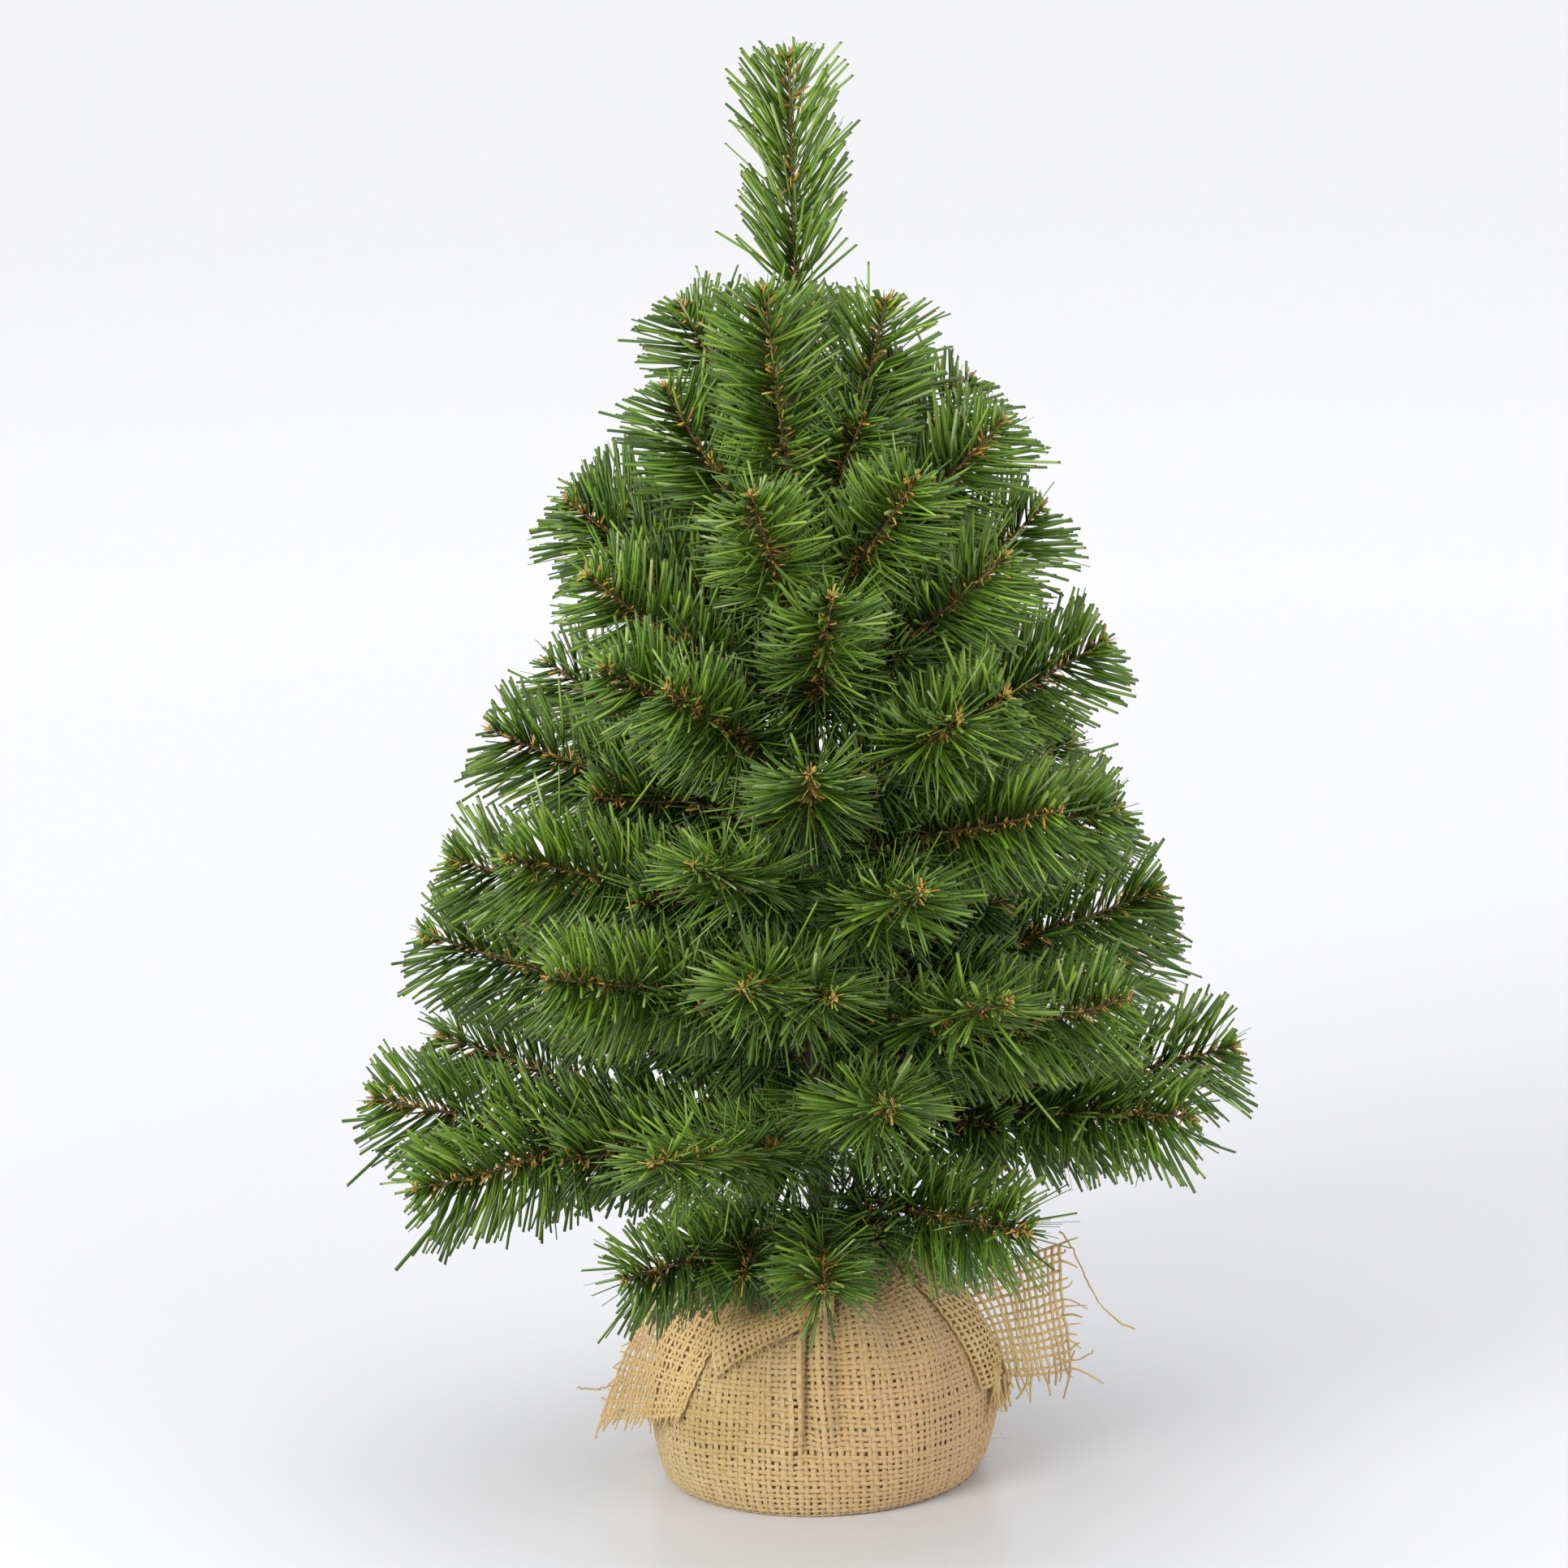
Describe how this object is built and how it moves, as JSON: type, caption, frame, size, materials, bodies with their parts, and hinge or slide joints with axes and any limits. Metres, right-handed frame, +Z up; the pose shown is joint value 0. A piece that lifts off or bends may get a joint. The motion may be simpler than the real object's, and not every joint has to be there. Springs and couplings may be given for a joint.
{
  "type": "artificial tabletop tree",
  "caption": "Small artificial conifer for a table: bendable wire branches with flat needles on a taped trunk, standing in a weight wrapped in burlap.",
  "frame": {"origin": "centre of the flat foot, on the surface that the tree stands on", "axes": "+Z up the trunk, -Y to the front as pictured, +X to the right"},
  "size_m": [0.3635, 0.3406, 0.6],
  "materials": {
    "pvc_needles": "satin",
    "burlap": "matte",
    "twine": "matte",
    "trunk_steel": "satin",
    "trunk_tape": "matte",
    "cement": "matte"
  },
  "bodies": {
    "base": {"base_weight": "cement", "burlap_flap_front": "burlap", "burlap_flap_left": "burlap", "burlap_flap_right": "burlap", "burlap_wrap": "burlap", "neck_tie": "twine", "trunk_pole": "trunk_steel", "trunk_tape": "trunk_tape"},
    "branch_01": {"branch_01": "pvc_needles"},
    "branch_02": {"branch_02": "pvc_needles"},
    "branch_03": {"branch_03": "pvc_needles"},
    "branch_04": {"branch_04": "pvc_needles"},
    "branch_05": {"branch_05": "pvc_needles"},
    "branch_06": {"branch_06": "pvc_needles"},
    "branch_07": {"branch_07": "pvc_needles"},
    "branch_08": {"branch_08": "pvc_needles"},
    "branch_09": {"branch_09": "pvc_needles"},
    "branch_10": {"branch_10": "pvc_needles"},
    "branch_11": {"branch_11": "pvc_needles"},
    "branch_12": {"branch_12": "pvc_needles"},
    "branch_13": {"branch_13": "pvc_needles"},
    "branch_14": {"branch_14": "pvc_needles"},
    "branch_15": {"branch_15": "pvc_needles"},
    "branch_16": {"branch_16": "pvc_needles"},
    "branch_17": {"branch_17": "pvc_needles"},
    "branch_18": {"branch_18": "pvc_needles"},
    "branch_19": {"branch_19": "pvc_needles"},
    "branch_20": {"branch_20": "pvc_needles"},
    "branch_21": {"branch_21": "pvc_needles"},
    "branch_22": {"branch_22": "pvc_needles"},
    "branch_23": {"branch_23": "pvc_needles"},
    "branch_24": {"branch_24": "pvc_needles"},
    "branch_25": {"branch_25": "pvc_needles"},
    "branch_26": {"branch_26": "pvc_needles"},
    "branch_27": {"branch_27": "pvc_needles"},
    "branch_28": {"branch_28": "pvc_needles"},
    "branch_29": {"branch_29": "pvc_needles"},
    "branch_30": {"branch_30": "pvc_needles"},
    "branch_31": {"branch_31": "pvc_needles"},
    "branch_32": {"branch_32": "pvc_needles"},
    "branch_33": {"branch_33": "pvc_needles"},
    "branch_34": {"branch_34": "pvc_needles"},
    "branch_35": {"branch_35": "pvc_needles"},
    "branch_36": {"branch_36": "pvc_needles"},
    "branch_37": {"branch_37": "pvc_needles"},
    "branch_38": {"branch_38": "pvc_needles"},
    "branch_39": {"branch_39": "pvc_needles"},
    "branch_40": {"branch_40": "pvc_needles"},
    "branch_41": {"branch_41": "pvc_needles"},
    "branch_42": {"branch_42": "pvc_needles"},
    "branch_43": {"branch_43": "pvc_needles"},
    "branch_44": {"branch_44": "pvc_needles"},
    "branch_45": {"branch_45": "pvc_needles"},
    "branch_46": {"branch_46": "pvc_needles"},
    "branch_47": {"branch_47": "pvc_needles"},
    "branch_48": {"branch_48": "pvc_needles"},
    "branch_49": {"branch_49": "pvc_needles"},
    "branch_50": {"branch_50": "pvc_needles"},
    "branch_51": {"branch_51": "pvc_needles"},
    "leader": {"leader": "pvc_needles"}
  },
  "joints": [
    {"name": "branch_01_bend", "type": "hinge", "parent": "base", "child": "branch_01", "pos_m": [-0.00222, -0.00611, 0.408], "axis": [-0.9397, 0.342, 0], "range_deg": [-20, 5]},
    {"name": "branch_02_bend", "type": "hinge", "parent": "base", "child": "branch_02", "pos_m": [0.00611, -0.00222, 0.40204], "axis": [-0.342, -0.9397, 0], "range_deg": [-20, 5]},
    {"name": "branch_03_bend", "type": "hinge", "parent": "base", "child": "branch_03", "pos_m": [-0.00275, 0.00589, 0.39608], "axis": [0.9063, 0.4226, 0], "range_deg": [-20, 15]},
    {"name": "branch_04_bend", "type": "hinge", "parent": "base", "child": "branch_04", "pos_m": [-0.0064, -0.00113, 0.39012], "axis": [-0.1736, 0.9848, 0], "range_deg": [-20, 20]},
    {"name": "branch_05_bend", "type": "hinge", "parent": "base", "child": "branch_05", "pos_m": [0.00644, -0.0009, 0.38416], "axis": [-0.1392, -0.9903, 0], "range_deg": [-20, 25]},
    {"name": "branch_06_bend", "type": "hinge", "parent": "base", "child": "branch_06", "pos_m": [0.00418, 0.00498, 0.3782], "axis": [0.766, -0.6428, 0], "range_deg": [-20, 30]},
    {"name": "branch_07_bend", "type": "hinge", "parent": "base", "child": "branch_07", "pos_m": [0.00344, -0.00551, 0.37224], "axis": [-0.848, -0.5299, 0], "range_deg": [-20, 40]},
    {"name": "branch_08_bend", "type": "hinge", "parent": "base", "child": "branch_08", "pos_m": [-0.00146, -0.00633, 0.36628], "axis": [-0.9744, 0.225, 0], "range_deg": [-20, 30]},
    {"name": "branch_09_bend", "type": "hinge", "parent": "base", "child": "branch_09", "pos_m": [0.0009, 0.00644, 0.36032], "axis": [0.9903, -0.1392, 0], "range_deg": [-20, 40]},
    {"name": "branch_10_bend", "type": "hinge", "parent": "base", "child": "branch_10", "pos_m": [-0.0065, 0, 0.35436], "axis": [0, 1, 0], "range_deg": [-20, 25]},
    {"name": "branch_11_bend", "type": "hinge", "parent": "base", "child": "branch_11", "pos_m": [-0.00435, 0.00483, 0.3484], "axis": [0.7431, 0.6691, 0], "range_deg": [-20, 35]},
    {"name": "branch_12_bend", "type": "hinge", "parent": "base", "child": "branch_12", "pos_m": [0.0064, 0.00113, 0.34244], "axis": [0.1736, -0.9848, 0], "range_deg": [-20, 40]},
    {"name": "branch_13_bend", "type": "hinge", "parent": "base", "child": "branch_13", "pos_m": [0.00532, -0.00373, 0.33648], "axis": [-0.5736, -0.8192, 0], "range_deg": [-20, 40]},
    {"name": "branch_14_bend", "type": "hinge", "parent": "base", "child": "branch_14", "pos_m": [-0.00545, -0.00354, 0.33052], "axis": [-0.5446, 0.8387, 0], "range_deg": [-20, 45]},
    {"name": "branch_15_bend", "type": "hinge", "parent": "base", "child": "branch_15", "pos_m": [0.00068, -0.00646, 0.32456], "axis": [-0.9945, -0.1045, 0], "range_deg": [-20, 40]},
    {"name": "branch_16_bend", "type": "hinge", "parent": "base", "child": "branch_16", "pos_m": [0.00305, 0.00574, 0.3186], "axis": [0.8829, -0.4695, 0], "range_deg": [-20, 35]},
    {"name": "branch_17_bend", "type": "hinge", "parent": "base", "child": "branch_17", "pos_m": [-0.00157, 0.00631, 0.31264], "axis": [0.9703, 0.2419, 0], "range_deg": [-20, 45]},
    {"name": "branch_18_bend", "type": "hinge", "parent": "base", "child": "branch_18", "pos_m": [-0.00315, -0.00568, 0.30668], "axis": [-0.8746, 0.4848, 0], "range_deg": [-20, 45]},
    {"name": "branch_19_bend", "type": "hinge", "parent": "base", "child": "branch_19", "pos_m": [0.0065, 0, 0.30072], "axis": [0, -1, 0], "range_deg": [-20, 30]},
    {"name": "branch_20_bend", "type": "hinge", "parent": "base", "child": "branch_20", "pos_m": [0.00435, -0.00483, 0.29476], "axis": [-0.7431, -0.6691, 0], "range_deg": [-20, 30]},
    {"name": "branch_21_bend", "type": "hinge", "parent": "base", "child": "branch_21", "pos_m": [-0.00589, 0.00275, 0.2888], "axis": [0.4226, 0.9063, 0], "range_deg": [-20, 45]},
    {"name": "branch_22_bend", "type": "hinge", "parent": "base", "child": "branch_22", "pos_m": [0, -0.0065, 0.28284], "axis": [-1, 0, 0], "range_deg": [-20, 25]},
    {"name": "branch_23_bend", "type": "hinge", "parent": "base", "child": "branch_23", "pos_m": [-0.0065, 0, 0.27688], "axis": [0, 1, 0], "range_deg": [-20, 35]},
    {"name": "branch_24_bend", "type": "hinge", "parent": "base", "child": "branch_24", "pos_m": [0.00483, -0.00435, 0.27092], "axis": [-0.6691, -0.7431, 0], "range_deg": [-20, 20]},
    {"name": "branch_25_bend", "type": "hinge", "parent": "base", "child": "branch_25", "pos_m": [-0.004, 0.00512, 0.26496], "axis": [0.788, 0.6157, 0], "range_deg": [-20, 40]},
    {"name": "branch_26_bend", "type": "hinge", "parent": "base", "child": "branch_26", "pos_m": [0.00545, 0.00354, 0.259], "axis": [0.5446, -0.8387, 0], "range_deg": [-20, 45]},
    {"name": "branch_27_bend", "type": "hinge", "parent": "base", "child": "branch_27", "pos_m": [-0.00222, -0.00611, 0.25304], "axis": [-0.9397, 0.342, 0], "range_deg": [-20, 35]},
    {"name": "branch_28_bend", "type": "hinge", "parent": "base", "child": "branch_28", "pos_m": [-0.00574, -0.00305, 0.24708], "axis": [-0.4695, 0.8829, 0], "range_deg": [-20, 40]},
    {"name": "branch_29_bend", "type": "hinge", "parent": "base", "child": "branch_29", "pos_m": [0.00201, -0.00618, 0.24112], "axis": [-0.9511, -0.309, 0], "range_deg": [-20, 45]},
    {"name": "branch_30_bend", "type": "hinge", "parent": "base", "child": "branch_30", "pos_m": [0.00611, 0.00222, 0.23516], "axis": [0.342, -0.9397, 0], "range_deg": [-20, 45]},
    {"name": "branch_31_bend", "type": "hinge", "parent": "base", "child": "branch_31", "pos_m": [-0.0065, 0, 0.2292], "axis": [0, 1, 0], "range_deg": [-20, 15]},
    {"name": "branch_32_bend", "type": "hinge", "parent": "base", "child": "branch_32", "pos_m": [-0.00079, 0.00645, 0.22324], "axis": [0.9925, 0.1219, 0], "range_deg": [-20, 40]},
    {"name": "branch_33_bend", "type": "hinge", "parent": "base", "child": "branch_33", "pos_m": [-0.00124, -0.00638, 0.21728], "axis": [-0.9816, 0.1908, 0], "range_deg": [-20, 25]},
    {"name": "branch_34_bend", "type": "hinge", "parent": "base", "child": "branch_34", "pos_m": [-0.00443, -0.00475, 0.21132], "axis": [-0.7314, 0.682, 0], "range_deg": [-20, 45]},
    {"name": "branch_35_bend", "type": "hinge", "parent": "base", "child": "branch_35", "pos_m": [0.00644, 0.0009, 0.20536], "axis": [0.1392, -0.9903, 0], "range_deg": [-20, 30]},
    {"name": "branch_36_bend", "type": "hinge", "parent": "base", "child": "branch_36", "pos_m": [0.00354, 0.00545, 0.1994], "axis": [0.8387, -0.5446, 0], "range_deg": [-20, 45]},
    {"name": "branch_37_bend", "type": "hinge", "parent": "base", "child": "branch_37", "pos_m": [0.00315, -0.00568, 0.19344], "axis": [-0.8746, -0.4848, 0], "range_deg": [-20, 35]},
    {"name": "branch_38_bend", "type": "hinge", "parent": "base", "child": "branch_38", "pos_m": [-0.0064, 0.00113, 0.18748], "axis": [0.1736, 0.9848, 0], "range_deg": [-20, 30]},
    {"name": "branch_39_bend", "type": "hinge", "parent": "base", "child": "branch_39", "pos_m": [0.00505, -0.00409, 0.18152], "axis": [-0.6293, -0.7771, 0], "range_deg": [-20, 25]},
    {"name": "branch_40_bend", "type": "hinge", "parent": "base", "child": "branch_40", "pos_m": [-0.00475, 0.00443, 0.17556], "axis": [0.682, 0.7314, 0], "range_deg": [-20, 40]},
    {"name": "branch_41_bend", "type": "hinge", "parent": "base", "child": "branch_41", "pos_m": [0.00598, 0.00254, 0.1696], "axis": [0.3907, -0.9205, 0], "range_deg": [-20, 20]},
    {"name": "branch_42_bend", "type": "hinge", "parent": "base", "child": "branch_42", "pos_m": [0.00113, -0.0064, 0.16364], "axis": [-0.9848, -0.1736, 0], "range_deg": [-20, 40]},
    {"name": "branch_43_bend", "type": "hinge", "parent": "base", "child": "branch_43", "pos_m": [0.00034, 0.00649, 0.15768], "axis": [0.9986, -0.0523, 0], "range_deg": [-20, 40]},
    {"name": "branch_44_bend", "type": "hinge", "parent": "base", "child": "branch_44", "pos_m": [0.00636, -0.00135, 0.15172], "axis": [-0.2079, -0.9781, 0], "range_deg": [-20, 45]},
    {"name": "branch_45_bend", "type": "hinge", "parent": "base", "child": "branch_45", "pos_m": [-0.00244, -0.00603, 0.14576], "axis": [-0.9272, 0.3746, 0], "range_deg": [-20, 35]},
    {"name": "branch_46_bend", "type": "hinge", "parent": "base", "child": "branch_46", "pos_m": [-0.00603, 0.00244, 0.1398], "axis": [0.3746, 0.9272, 0], "range_deg": [-20, 40]},
    {"name": "branch_47_bend", "type": "hinge", "parent": "base", "child": "branch_47", "pos_m": [-0.00648, -0.00045, 0.13384], "axis": [-0.0698, 0.9976, 0], "range_deg": [-20, 30]},
    {"name": "branch_48_bend", "type": "hinge", "parent": "base", "child": "branch_48", "pos_m": [-0.00068, 0.00646, 0.12788], "axis": [0.9945, 0.1045, 0], "range_deg": [-20, 25]},
    {"name": "branch_49_bend", "type": "hinge", "parent": "base", "child": "branch_49", "pos_m": [0.00364, -0.00539, 0.12192], "axis": [-0.829, -0.5592, 0], "range_deg": [-8, 35]},
    {"name": "branch_50_bend", "type": "hinge", "parent": "base", "child": "branch_50", "pos_m": [0, -0.0065, 0.11596], "axis": [-1, 0, 0], "range_deg": [-8, 45]},
    {"name": "branch_51_bend", "type": "hinge", "parent": "base", "child": "branch_51", "pos_m": [-0.00373, -0.00532, 0.11], "axis": [-0.8192, 0.5736, 0], "range_deg": [-8, 45]},
    {"name": "leader_bend", "type": "hinge", "parent": "base", "child": "leader", "pos_m": [0, 0, 0.4955], "axis": [0, -1, 0], "range_deg": [-20, 20]}
  ]
}
